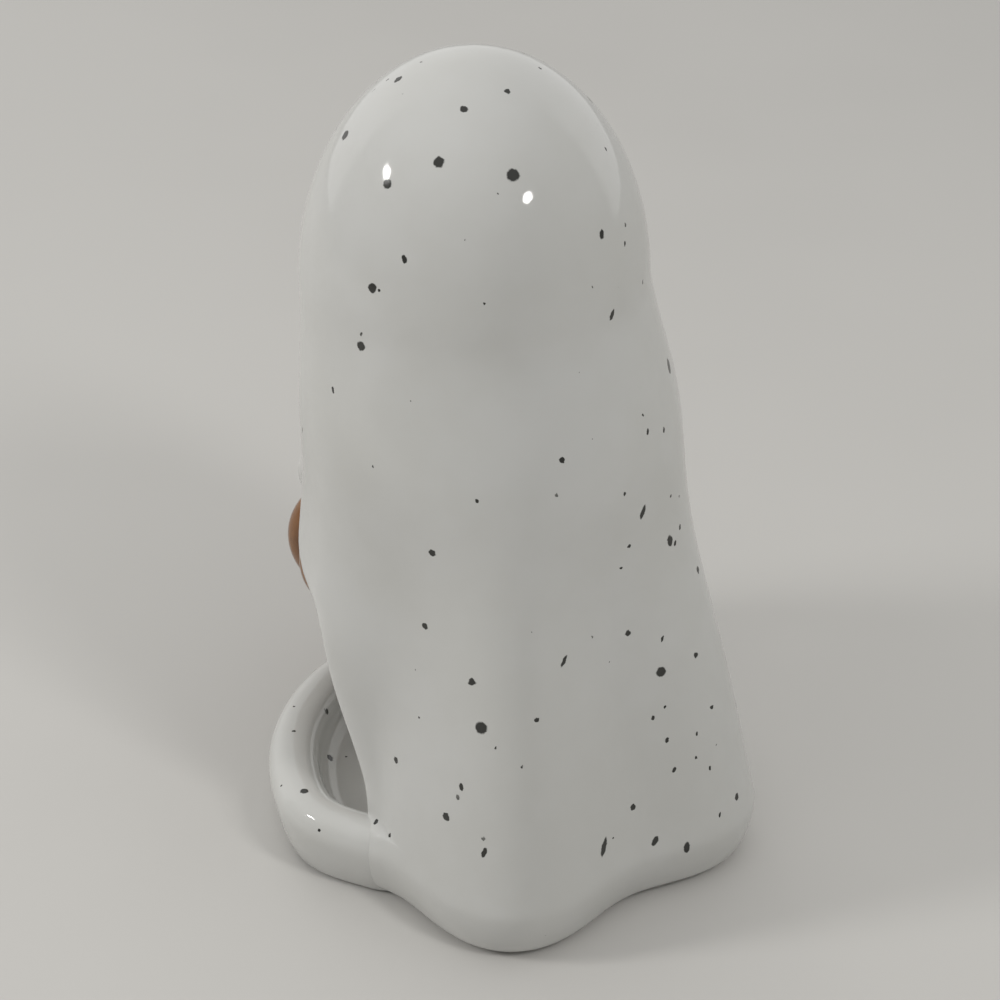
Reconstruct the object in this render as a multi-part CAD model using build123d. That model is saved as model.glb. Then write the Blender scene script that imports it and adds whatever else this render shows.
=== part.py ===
from build123d import *
import math
import os

# Ceramic ghost figure, millimetres, +Z up, front towards -Y.
# The model is laid out about the axis of its hem and moved at the end, so that the origin is at the
# centre of its footprint on the surface that it stands on.

# Sheet form
HEIGHT = 150.0
HEAD_RADIUS = 30.5
HEAD_EQUATOR = 109.0
HEM_RADIUS = 44.7
HEM_BULGE_HEIGHT = 10.0
HEM_CURL = 2.5
FLARE_POWER = 1.63
LEAN = 9.8
LEAN_POWER = 2.65
SHOULDER_SWELL = 2.1
SHOULDER_HEIGHT = 87.0
SHOULDER_SPREAD = 15.0
WALL = 4.0

# Folds of the sheet: depth at the hem, the heights between which they fade out, and the angles from
# the front at which a fold crests (+1) or sinks (-1). Both sides are alike.
FOLD_DEPTH = 3.9
FOLD_FADE_START = 29.0
FOLD_FADE_END = 93.0
FOLD_WAVES = ((86.0, 0.25), (112.0, -1.0), (147.0, 1.0), (180.0, -1.0))

# Bay where the sheet parts, and the body that stands forward inside it
BAY_FOOT_Y = 5.0
BAY_TOP_Y = -8.0
BAY_HEIGHT = 53.5
ARCH_SPAN = 66.0
ARCH_RISE = 5.0
COLUMN_WIDTH = 28.0
COLUMN_FOOT_WIDTH = 56.0
COLUMN_PROJECTION = 19.0
COLUMN_ROUNDING = 9.0

# Tuck of the sheet beside the bay, which brings its edge down inside the dish's lip: the height where it
# starts and the angles from the front between which it comes and goes
TUCK_TOP = 62.0
TUCK_RISE_ANGLES = (60.0, 80.0)
TUCK_FALL_ANGLES = (94.0, 112.0)

# Roll on the hem that carries the lip on behind the bay until the sheet covers it: how far it lies under
# the untucked skin, and the angles from the front between which it is made
ROLL_INSET = 0.5
ROLL_ANGLES = (75.0, 114.0)

# Dish, whose lip and foot follow the hem
LIP_OVERHANG = 0.7
LIP_HEIGHT = 14.0
LIP_THICKNESS = 8.4
NECK_ROUNDING = 3.0
DISH_FOOT_INSET = 1.7
DISH_FOOT_ROUNDING = 1.5
DISH_FLOOR = 5.0
BOWL_ROUNDING = 4.0

# Base slab
SLAB_THICKNESS = 5.0
VENT_DIAMETER = 6.0
VENT_Y = 18.0

# Pumpkin and stem
PUMPKIN_RADIUS = 19.5
PUMPKIN_HEIGHT = 29.0
PUMPKIN_CENTRE_HEIGHT = 38.0
PUMPKIN_SEAT = 2.5
PUMPKIN_FULLNESS = 0.8
RIB_COUNT = 10
RIB_DEPTH = 1.3
DIMPLE_RADIUS = 5.5
DIMPLE_DEPTH = 2.4
STEM_RADIUS = 3.0
STEM_TIP_RADIUS = 2.0
STEM_LENGTH = 8.0
STEM_LEAN = 2.5
STEM_SOCKET = 2.0

# Sleeves: the root is sunk in the sheet, and the round tip rests on the pumpkin
SLEEVE_ROOT_HEIGHT = 71.0
SLEEVE_ROOT_ANGLE = 39.0
SLEEVE_ROOT_SINK = 7.5
SLEEVE_ROOT_RADIUS = 9.0
SLEEVE_TIP_RADIUS = 5.4
SLEEVE_GRIP = 10.5
SLEEVE_GRIP_FORWARD = 5.0
SLEEVE_PRESS = 1.0

# Eyes
EYE_HEIGHT = 116.0
EYE_SPACING = 19.0
EYE_WIDTH = 7.0
EYE_LENGTH = 10.5
EYE_DEPTH = 1.5

# Foot pads
PAD_RADIUS = 4.5
PAD_THICKNESS = 0.8
PAD_INSET = 8.0
PAD_FRONT_ANGLE = 35.0
PAD_BACK_ANGLE = 134.0

# Counts for the curves
SECTION_POINTS = 36
SKIRT_STEPS = 8
DOME_ANGLES = (18.0, 36.0, 52.0, 66.0, 78.0)
RIB_POINTS = 4
PUMPKIN_STEPS = 8

# Sizes that follow from the ones above
LIP_RADIUS = HEM_RADIUS + LIP_OVERHANG
DISH_FOOT_RADIUS = HEM_RADIUS - DISH_FOOT_INSET
WALL_SLOPE = (BAY_TOP_Y - BAY_FOOT_Y) / BAY_HEIGHT
COLUMN_FRONT_Y = BAY_FOOT_Y - COLUMN_PROJECTION
PUMPKIN_Y = COLUMN_FRONT_Y + WALL_SLOPE * PUMPKIN_CENTRE_HEIGHT - PUMPKIN_RADIUS + PUMPKIN_SEAT
REACH = 2.0 * HEM_RADIUS
SIDE_ANGLE = 90.0


def fold_wave(angle: float) -> float:
    """Crest or valley of the folds at an angle from the front, as half cosines between the waves."""
    turn = abs((angle + 180.0) % 360.0 - 180.0)
    if turn <= FOLD_WAVES[0][0]:
        return FOLD_WAVES[0][1]
    for (start, low), (end, high) in zip(FOLD_WAVES, FOLD_WAVES[1:]):
        if turn <= end:
            share = (turn - start) / (end - start)
            return low + (high - low) * (1.0 - math.cos(math.pi * share)) / 2.0
    return FOLD_WAVES[-1][1]


def fold_depth(height: float) -> float:
    """Depth of the folds at a height, full at the hem and gone below the head."""
    share = (height - FOLD_FADE_START) / (FOLD_FADE_END - FOLD_FADE_START)
    return FOLD_DEPTH * (1.0 + math.cos(math.pi * min(max(share, 0.0), 1.0))) / 2.0


def mean_radius(height: float) -> float:
    """Radius of the sheet without its folds, from the foot up to the head's equator."""
    if height < HEM_BULGE_HEIGHT:
        radius = HEM_RADIUS - HEM_CURL * (1.0 - height / HEM_BULGE_HEIGHT) ** 2
    else:
        share = (HEAD_EQUATOR - height) / (HEAD_EQUATOR - HEM_BULGE_HEIGHT)
        radius = HEAD_RADIUS + (HEM_RADIUS - HEAD_RADIUS) * share**FLARE_POWER
    swell = SHOULDER_SWELL * math.exp(-(((height - SHOULDER_HEIGHT) / SHOULDER_SPREAD) ** 2))
    return radius + swell


def centre_y(height: float) -> float:
    """Y of the sheet's middle at a height: the figure leans to its front."""
    return -LEAN * min(height / HEAD_EQUATOR, 1.0) ** LEAN_POWER


def eased(value: float, start: float, end: float) -> float:
    """Share of the way from start to end as a half cosine."""
    share = min(max((value - start) / (end - start), 0.0), 1.0)
    return (1.0 - math.cos(math.pi * share)) / 2.0


def edge_tuck(angle: float, height: float) -> float:
    """How far the sheet is drawn in beside the bay: by the lip's thickness at the lip, less above it."""
    turn = abs((angle + 180.0) % 360.0 - 180.0)
    around = eased(turn, *TUCK_RISE_ANGLES) - eased(turn, *TUCK_FALL_ANGLES)
    up = (TUCK_TOP - height) / (TUCK_TOP - LIP_HEIGHT)
    return LIP_THICKNESS * around * min(max(up, 0.0), 1.0)


def ring(height: float, radius: float, tucked: bool) -> Face:
    """One level section of the sheet, with its folds and, if tucked, its drawn-in edges."""
    middle = centre_y(height)
    points = []
    for i in range(SECTION_POINTS):
        angle = 360.0 * i / SECTION_POINTS
        reach = radius + fold_depth(height) * fold_wave(angle)
        if tucked:
            reach -= edge_tuck(angle, height)
        turn = math.radians(angle)
        points.append((reach * math.sin(turn), middle - reach * math.cos(turn), height))
    return make_face(Spline(*points, periodic=True))


def sheet_form(inset: float) -> Part:
    """The whole draped form, drawn in by an inset on its sides and crown."""
    heights = [0.0, HEM_BULGE_HEIGHT / 2.0]
    step = (HEAD_EQUATOR - HEM_BULGE_HEIGHT) / SKIRT_STEPS
    heights += [HEM_BULGE_HEIGHT + step * i for i in range(SKIRT_STEPS + 1)]
    sections = [ring(z, mean_radius(z) - inset, tucked=True) for z in heights]
    dome_radius = mean_radius(HEAD_EQUATOR) - inset
    dome_rise = HEIGHT - inset - HEAD_EQUATOR
    for angle in DOME_ANGLES:
        turn = math.radians(angle)
        height = HEAD_EQUATOR + dome_rise * math.sin(turn)
        sections.append(ring(height, dome_radius * math.cos(turn), tucked=True))
    crown = Vertex(0.0, centre_y(HEIGHT), HEIGHT - inset)
    return loft(sections + [crown])


def arch_form(setback: float) -> Part:
    """Everything under the arched edge of the parted sheet, with the arch raised by a wall."""
    radius = (ARCH_SPAN**2 / 4.0 + ARCH_RISE**2) / (2.0 * ARCH_RISE)
    top = BAY_HEIGHT + ARCH_RISE + setback
    barrel = Plane.XZ * Pos(0.0, top - radius) * Circle(radius)
    below = Plane.XZ * Pos(0.0, (top - radius) / 2.0) * Rectangle(2.0 * radius, top - radius)
    return extrude(barrel + below, amount=REACH, both=True)


def bay_form(setback: float) -> Part:
    """Space in front of the parted sheet, with its back wall and ceiling set back by a wall."""
    foot = BAY_FOOT_Y + setback
    front = COLUMN_FRONT_Y + setback
    half_column = COLUMN_WIDTH / 2.0 - setback
    half_foot = COLUMN_FOOT_WIDTH / 2.0 - setback
    plan = Polyline(
        (REACH, foot),
        (half_foot, foot),
        (half_column, front),
        (-half_column, front),
        (-half_foot, foot),
        (-REACH, foot),
        (-REACH, -REACH),
        (REACH, -REACH),
        close=True,
    )
    outline = make_face(plan)
    bends = [v for v in outline.vertices() if abs(v.X) < REACH / 2.0]
    outline = fillet(bends, COLUMN_ROUNDING)
    slope = Vector(0.0, BAY_TOP_Y - BAY_FOOT_Y, BAY_HEIGHT)
    block = extrude(outline, amount=2.0 * slope.length, dir=slope.normalized())
    return block & arch_form(setback)


def lower_outer(profile: Sketch) -> Vertex:
    """Lowest corner of a profile on the side away from the axis."""
    return profile.vertices().group_by(Axis.X)[-1].sort_by(Axis.Y)[0]


def dish_profile() -> Sketch:
    """Section of the round dish and its rolled lip."""
    roll = LIP_THICKNESS / 2.0
    lip_centre = LIP_HEIGHT - roll
    bowl_radius = LIP_RADIUS - LIP_THICKNESS
    low_corner = (Align.MIN, Align.MIN)
    foot = Rectangle(DISH_FOOT_RADIUS, lip_centre, align=low_corner)
    foot = fillet(lower_outer(foot), DISH_FOOT_ROUNDING)
    bowl = Rectangle(bowl_radius, LIP_HEIGHT, align=low_corner)
    bowl = Pos(0.0, DISH_FLOOR) * fillet(lower_outer(bowl), BOWL_ROUNDING)
    lip = Pos(LIP_RADIUS - roll, lip_centre) * Rot(0.0, 0.0, 180.0) * Circle(roll)
    profile = foot - bowl + lip
    neck = profile.vertices().group_by(Axis.X)[-1].sort_by(Axis.Y)[-1]
    return Plane.XZ * fillet(neck, NECK_ROUNDING)


def hem_rolls() -> list[Part]:
    """The dish's ring carried on behind the bay on both sides, under the skin of the untucked hem."""
    start, end = ROLL_ANGLES
    ring_end = revolve(dish_profile(), axis=Axis.Z, revolution_arc=end - start)
    ring_end = Rot(0.0, 0.0, start - SIDE_ANGLE) * ring_end
    below = Pos(0.0, 0.0, -LIP_HEIGHT) * ring(0.0, mean_radius(0.0) - ROLL_INSET, tucked=False)
    heights = [HEM_BULGE_HEIGHT * i / 2.0 for i in range(5)]
    hem = loft([below] + [ring(z, mean_radius(z) - ROLL_INSET, tucked=False) for z in heights])
    left = ring_end & hem
    return [left, mirror(left, about=Plane.YZ)]


def pumpkin_form() -> Part:
    """Squat ribbed ball with a dimple in its top."""
    count = RIB_COUNT * RIB_POINTS
    half = PUMPKIN_HEIGHT / 2.0
    sections = []
    for i in range(1, PUMPKIN_STEPS):
        turn = math.pi * (i / PUMPKIN_STEPS - 0.5)
        radius = (PUMPKIN_RADIUS - RIB_DEPTH) * math.cos(turn) ** PUMPKIN_FULLNESS
        rib = RIB_DEPTH * math.cos(turn)
        points = []
        for k in range(count):
            angle = 2.0 * math.pi * k / count
            reach = radius + rib * math.cos(RIB_COUNT * angle)
            points.append((reach * math.cos(angle), reach * math.sin(angle), half * math.sin(turn)))
        sections.append(make_face(Spline(*points, periodic=True)))
    ball = loft([Vertex(0.0, 0.0, -half)] + sections + [Vertex(0.0, 0.0, half)])
    dimple = Cone(0.0, DIMPLE_RADIUS, DIMPLE_DEPTH, align=(Align.CENTER, Align.CENTER, Align.MAX))
    return Pos(0.0, PUMPKIN_Y, PUMPKIN_CENTRE_HEIGHT) * (ball - Pos(0.0, 0.0, half) * dimple)


def stem_form() -> Part:
    """Tapered stem that leans forward, with a plain spigot that sinks into the pumpkin."""
    foot = PUMPKIN_CENTRE_HEIGHT + PUMPKIN_HEIGHT / 2.0 - DIMPLE_DEPTH
    spigot = Cylinder(STEM_RADIUS, STEM_SOCKET, align=(Align.CENTER, Align.CENTER, Align.MAX))
    middle_radius = (STEM_RADIUS + STEM_TIP_RADIUS) / 2.0
    sections = [
        Circle(STEM_RADIUS),
        Pos(0.0, -STEM_LEAN / 4.0, STEM_LENGTH / 2.0) * Circle(middle_radius),
        Pos(0.0, -STEM_LEAN, STEM_LENGTH) * Circle(STEM_TIP_RADIUS),
    ]
    return Pos(0.0, PUMPKIN_Y, foot) * (spigot + loft(sections))


def sleeve_form(side: int) -> Part:
    """Tapered sleeve with a round end, from the sheet down to the top of the pumpkin."""
    turn = math.radians(SLEEVE_ROOT_ANGLE)
    sunk = mean_radius(SLEEVE_ROOT_HEIGHT) - SLEEVE_ROOT_SINK
    root_y = centre_y(SLEEVE_ROOT_HEIGHT) - sunk * math.cos(turn)
    root = Vector(side * sunk * math.sin(turn), root_y, SLEEVE_ROOT_HEIGHT)
    grip = math.hypot(SLEEVE_GRIP, SLEEVE_GRIP_FORWARD) / PUMPKIN_RADIUS
    rise = PUMPKIN_HEIGHT / 2.0 * math.sqrt(1.0 - grip**2) + SLEEVE_TIP_RADIUS - SLEEVE_PRESS
    tip = Vector(side * SLEEVE_GRIP, PUMPKIN_Y - SLEEVE_GRIP_FORWARD, PUMPKIN_CENTRE_HEIGHT + rise)
    length = (tip - root).length
    flank = Line((SLEEVE_ROOT_RADIUS, 0.0), (SLEEVE_TIP_RADIUS, length))
    end = RadiusArc(flank @ 1, (0.0, length + SLEEVE_TIP_RADIUS), -SLEEVE_TIP_RADIUS)
    profile = make_face([flank, end, Polyline(end @ 1, (0.0, 0.0), flank @ 0)])
    body = revolve(Plane.XZ * profile, axis=Axis.Z)
    return Plane(origin=root, z_dir=tip - root).location * body


def eye_form(side: int, sheet: Part) -> Part:
    """Oval inlay that lies flush in the face."""
    oval = Plane.XZ * Pos(side * EYE_SPACING / 2.0, EYE_HEIGHT) * Ellipse(EYE_WIDTH / 2.0, EYE_LENGTH / 2.0)
    rod = extrude(oval, amount=REACH, dir=(0.0, -1.0, 0.0))
    return (rod & sheet) - Pos(0.0, EYE_DEPTH, 0.0) * sheet


def pad_forms() -> list[Part]:
    """Four round pads stuck flat under the dish and the slab."""
    pad = Cylinder(PAD_RADIUS, PAD_THICKNESS, align=(Align.CENTER, Align.CENTER, Align.MAX))
    rings = ((PAD_FRONT_ANGLE, DISH_FOOT_RADIUS), (PAD_BACK_ANGLE, mean_radius(0.0) - WALL))
    pads = []
    for angle, edge in rings:
        turn = math.radians(angle)
        out = edge - PAD_INSET
        for side in (1, -1):
            pads.append(Pos(side * out * math.sin(turn), -out * math.cos(turn)) * pad)
    return pads


def build() -> dict[str, Part | Compound]:
    """Every piece of the figure in its place."""
    sheet = sheet_form(0.0)
    bay = bay_form(0.0)
    body = sheet - bay + [roll - bay for roll in hem_rolls()]
    cavity = sheet_form(WALL) - bay_form(WALL)
    slab_space = Pos(0.0, 0.0, SLAB_THICKNESS / 2.0) * Box(2.0 * REACH, 2.0 * REACH, SLAB_THICKNESS)
    vent = Pos(0.0, VENT_Y, 0.0) * Cylinder(VENT_DIAMETER / 2.0, 4.0 * SLAB_THICKNESS)
    left_eye = eye_form(1, sheet)
    right_eye = eye_form(-1, sheet)
    pumpkin_ball = pumpkin_form() - body
    stem = stem_form()
    return {
        "ghost_shell": body - [cavity, left_eye, right_eye],
        "front_dish": revolve(dish_profile(), axis=Axis.Z) & bay,
        "base_slab": (cavity & slab_space) - vent,
        "left_sleeve": sleeve_form(1) - body - pumpkin_ball,
        "right_sleeve": sleeve_form(-1) - body - pumpkin_ball,
        "pumpkin": pumpkin_ball - stem,
        "pumpkin_stem": stem,
        "left_eye": left_eye,
        "right_eye": right_eye,
        "foot_pads": Compound(children=pad_forms()),
    }


os.makedirs("parts", exist_ok=True)
pieces = build()
extent = Compound(children=[piece.moved(Location()) for piece in pieces.values()]).bounding_box()
to_origin = Location((0.0, -extent.center().Y, -extent.min.Z))
for name, piece in pieces.items():
    export_step(piece.moved(to_origin), f"parts/{name}.step")
    print(name, "volume", round(piece.volume), "faces", len(piece.faces()))
print("hem axis at y", round(-extent.center().Y, 3), "foot at z", round(-extent.min.Z, 3))
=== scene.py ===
"""Looks of a ceramic ghost figure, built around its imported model."""

import logging
import math
from dataclasses import dataclass
from enum import Enum

import bmesh
import bpy
from mathutils import Matrix, Vector
from mathutils.bvhtree import BVHTree

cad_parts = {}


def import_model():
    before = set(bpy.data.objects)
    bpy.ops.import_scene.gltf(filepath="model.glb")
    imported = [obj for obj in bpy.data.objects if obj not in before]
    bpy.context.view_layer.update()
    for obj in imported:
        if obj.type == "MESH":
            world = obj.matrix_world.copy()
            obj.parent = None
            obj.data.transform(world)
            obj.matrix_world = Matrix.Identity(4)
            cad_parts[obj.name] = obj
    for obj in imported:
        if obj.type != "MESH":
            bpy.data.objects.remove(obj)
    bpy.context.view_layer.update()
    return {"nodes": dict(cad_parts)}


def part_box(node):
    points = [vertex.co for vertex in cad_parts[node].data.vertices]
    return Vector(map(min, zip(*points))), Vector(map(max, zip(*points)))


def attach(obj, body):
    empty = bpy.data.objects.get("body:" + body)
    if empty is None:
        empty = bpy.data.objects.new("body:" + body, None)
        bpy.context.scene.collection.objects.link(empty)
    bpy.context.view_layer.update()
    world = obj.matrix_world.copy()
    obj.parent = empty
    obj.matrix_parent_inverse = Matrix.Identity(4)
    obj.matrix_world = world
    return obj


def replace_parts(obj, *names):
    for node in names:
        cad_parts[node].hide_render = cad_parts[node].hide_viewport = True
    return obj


MM = 0.001
BODY = "root"
ROUNDS = 6
WELD = 1e-5
SLACK = 0.01
GLOSS_RANGE = (0.3, 0.8)
MATT_RANGE = (0.3, 0.7)

Colour = tuple[float, float, float]
Socket = bpy.types.NodeSocket

log = logging.getLogger("ghost")


class Side(Enum):
    """Sides of the figure, by the sign of X."""

    LEFT = 1
    RIGHT = -1


def smooth_share(value: float, start: float, end: float) -> float:
    """Share of the way from start to end, eased at both ends.

    Args:
        value: where to read the share.
        start: value at which the share is 0.
        end: value at which the share is 1.

    Returns:
        A share from 0 to 1.
    """
    share = min(max((value - start) / (end - start), 0.0), 1.0)
    return share * share * (3.0 - 2.0 * share)


def half_cosine(value: float, start: float, end: float) -> float:
    """Share of the way from start to end as a half cosine."""
    share = min(max((value - start) / (end - start), 0.0), 1.0)
    return (1.0 - math.cos(math.pi * share)) / 2.0


def off_front(angle: float) -> float:
    """Degrees between an angle and the front, on either side."""
    return abs((angle + 180.0) % 360.0 - 180.0)


def direction(azimuth: float, elevation: float = 0.0) -> Vector:
    """Direction at an azimuth from the front towards the figure's left and at an elevation, in degrees."""
    turn, rise = math.radians(azimuth), math.radians(elevation)
    return Vector((math.sin(turn) * math.cos(rise), -math.cos(turn) * math.cos(rise), math.sin(rise)))


def stair(start: float, end: float, steps: int) -> list[float]:
    """Evenly spaced heights after a start, up to an end."""
    return [start + (end - start) * i / steps for i in range(1, steps + 1)]


@dataclass(frozen=True)
class Place:
    """Where the hem's axis and the foot of the figure lie in the row frame, in metres."""

    hem_y: float
    foot_z: float

    def row(self, point: Vector) -> Vector:
        """A point about the hem's axis, in millimetres, as a point of the row frame."""
        return Vector((point.x * MM, point.y * MM + self.hem_y, point.z * MM + self.foot_z))

    @classmethod
    def of_dish(cls, lip_radius: float) -> "Place":
        """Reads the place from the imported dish, whose lip is round about the hem's axis.

        Args:
            lip_radius: outer radius of the dish's lip, in millimetres.

        Returns:
            The place of the figure.
        """
        low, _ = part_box("front_dish")
        return cls(hem_y=low.y + lip_radius * MM, foot_z=low.z)


@dataclass(frozen=True)
class SheetForm:
    """Draped outer form of the ghost, in millimetres about the axis of its hem."""

    height: float = 150.0
    head_radius: float = 30.5
    head_equator: float = 109.0
    hem_radius: float = 44.7
    hem_bulge_height: float = 10.0
    hem_curl: float = 2.5
    flare_power: float = 1.63
    lean: float = 9.8
    lean_power: float = 2.65
    shoulder_swell: float = 2.1
    shoulder_height: float = 87.0
    shoulder_spread: float = 15.0
    wall: float = 4.0
    fold_size: float = 3.9
    fold_fade_start: float = 29.0
    fold_fade_end: float = 93.0
    fold_waves: tuple[tuple[float, float], ...] = ((78.0, 0.25), (110.0, -1.4), (146.0, 1.06), (180.0, -1.0))
    arm_swell: float = 1.15
    arm_angle: float = 54.0
    arm_angle_spread: float = 16.0
    arm_height: float = 60.0
    arm_height_spread: float = 13.0
    tuck_depth: float = 6.0
    tuck_top: float = 53.0
    ledge_foot: float = 9.8
    ledge_top: float = 14.0
    ledge_end: float = 15.0
    tuck_rise_angles: tuple[float, float] = (60.0, 80.0)
    tuck_fall_angles: tuple[float, float] = (95.0, 116.0)
    ledge_angles: tuple[float, float] = (97.0, 105.0)

    def mean_radius(self, height: float) -> float:
        """Radius of the sheet without its folds at a height."""
        level = min(height, self.head_equator)
        if level < self.hem_bulge_height:
            radius = self.hem_radius - self.hem_curl * (1.0 - level / self.hem_bulge_height) ** 2
        else:
            share = (self.head_equator - level) / (self.head_equator - self.hem_bulge_height)
            radius = self.head_radius + (self.hem_radius - self.head_radius) * share**self.flare_power
        aside = (level - self.shoulder_height) / self.shoulder_spread
        radius += self.shoulder_swell * math.exp(-(aside**2))
        rise = max(height - self.head_equator, 0.0) / (self.height - self.head_equator)
        return radius * math.sqrt(max(1.0 - rise * rise, 0.0))

    def centre_y(self, height: float) -> float:
        """Y of the sheet's middle at a height: the figure leans to its front."""
        return -self.lean * min(max(height, 0.0) / self.head_equator, 1.0) ** self.lean_power

    def fold_depth(self, height: float) -> float:
        """Depth of the folds at a height, full at the hem and gone below the head."""
        return self.fold_size * (1.0 - half_cosine(height, self.fold_fade_start, self.fold_fade_end))

    def fold_wave(self, angle: float) -> float:
        """Crest or valley of the folds at an angle from the front, as a share of their depth."""
        turn = off_front(angle)
        if turn <= self.fold_waves[0][0]:
            return self.fold_waves[0][1]
        for (start, low), (end, high) in zip(self.fold_waves, self.fold_waves[1:]):
            if turn <= end:
                return low + (high - low) * half_cosine(turn, start, end)
        return self.fold_waves[-1][1]

    def edge_tuck(self, angle: float, height: float) -> float:
        """How far the sheet is drawn in beside the bay, so that its edge comes down inside the dish's lip."""
        turn = off_front(angle)
        around = half_cosine(turn, *self.tuck_rise_angles) - half_cosine(turn, *self.tuck_fall_angles)
        rolled = 1.0 + (self.ledge(height) - 1.0) * half_cosine(turn, *self.ledge_angles)
        return self.tuck_depth * around * smooth_share(height, self.tuck_top, self.ledge_end) * rolled

    def ledge(self, height: float) -> float:
        """Share of the tuck that the hem has at a height: a roll like the lip's, then a hollow."""
        if height <= self.ledge_foot:
            return 0.0
        if height <= self.ledge_top:
            rise = (height - self.ledge_foot) / (self.ledge_top - self.ledge_foot)
            return 0.5 - 0.5 * math.sqrt(1.0 - rise * rise)
        fall = max(self.ledge_end - height, 0.0) / (self.ledge_end - self.ledge_top)
        return 0.5 + 0.5 * math.sqrt(1.0 - fall * fall)

    def ledge_heights(self) -> list[float]:
        """Heights of rows that follow the roll and the hollow of the hem beside the bay."""
        roll, hollow = self.ledge_top - self.ledge_foot, self.ledge_end - self.ledge_top
        heights = [self.ledge_foot + roll * math.sin(math.radians(turn)) for turn in (0, 20, 40, 60, 75, 90)]
        return heights + [self.ledge_end - hollow * math.cos(math.radians(turn)) for turn in (20, 45, 70, 90)]

    def full_reach(self, angle: float, height: float) -> float:
        """Distance of the skin from the sheet's middle before it is tucked, swollen over the arms."""
        around = (off_front(angle) - self.arm_angle) / self.arm_angle_spread
        up = (height - self.arm_height) / self.arm_height_spread
        swell = self.arm_swell * math.exp(-around * around - up * up)
        return self.mean_radius(height) + self.fold_depth(height) * self.fold_wave(angle) + swell

    def reach(self, angle: float, height: float) -> float:
        """Distance of the skin from the sheet's middle at an angle and a height."""
        return self.full_reach(angle, height) - self.edge_tuck(angle, height)

    def skin(self, angle: float, height: float, inset: float = 0.0) -> Vector:
        """A point on the skin of the sheet.

        Args:
            angle: degrees from the front towards the figure's left.
            height: height above the foot.
            inset: how far the point lies inside the skin.

        Returns:
            The point about the hem's axis.
        """
        turn = math.radians(angle)
        reach = self.reach(angle, height) - inset
        return Vector((reach * math.sin(turn), self.centre_y(height) - reach * math.cos(turn), height))

    def normal(self, angle: float, height: float) -> Vector:
        """Outward normal of the skin at an angle and a height."""
        step = 0.2
        across = self.skin(angle + step, height) - self.skin(angle - step, height)
        along = self.skin(angle, height + step) - self.skin(angle, height - step)
        return across.cross(along).normalized()


@dataclass(frozen=True)
class Bay:
    """Open bay where the sheet parts in front, with the body that stands forward inside it."""

    foot_y: float = 8.5
    top_y: float = -8.0
    height: float = 53.5
    arch_span: float = 66.0
    arch_rise: float = 5.0
    column_half: float = 12.5
    column_foot_half: float = 29.0
    column_projection: float = 19.0
    floor_height: float = 5.0
    floor_rounding: float = 7.0
    edge_guess: float = 85.0

    def back_y(self, height: float) -> float:
        """Y of the bay's back at a height, beside the column."""
        return self.foot_y + (self.top_y - self.foot_y) * height / self.height

    def wall_y(self, x: float, height: float) -> float:
        """Y of the bay's back wall, with the column's bulge and the round foot of the wall."""
        bulge = self.column_projection * smooth_share(abs(x), self.column_foot_half, self.column_half)
        above = min(max(height - self.floor_height, 0.0), self.floor_rounding)
        drop = self.floor_rounding - above
        flare = self.floor_rounding - math.sqrt(self.floor_rounding**2 - drop**2)
        return self.back_y(height) - bulge - flare

    def arch_z(self, x: float) -> float:
        """Height of the arched edge of the sheet over an X."""
        radius = (self.arch_span**2 / 4.0 + self.arch_rise**2) / (2.0 * self.arch_rise)
        return self.height + self.arch_rise - radius + math.sqrt(radius**2 - x * x)

    def edge_angle(self, form: SheetForm, height: float) -> float:
        """Angle from the front at which the bay's back meets the skin, in degrees."""
        angle = self.edge_guess
        for _ in range(ROUNDS):
            reach = form.reach(angle, height)
            angle = math.degrees(math.acos((form.centre_y(height) - self.back_y(height)) / reach))
        return angle


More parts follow.
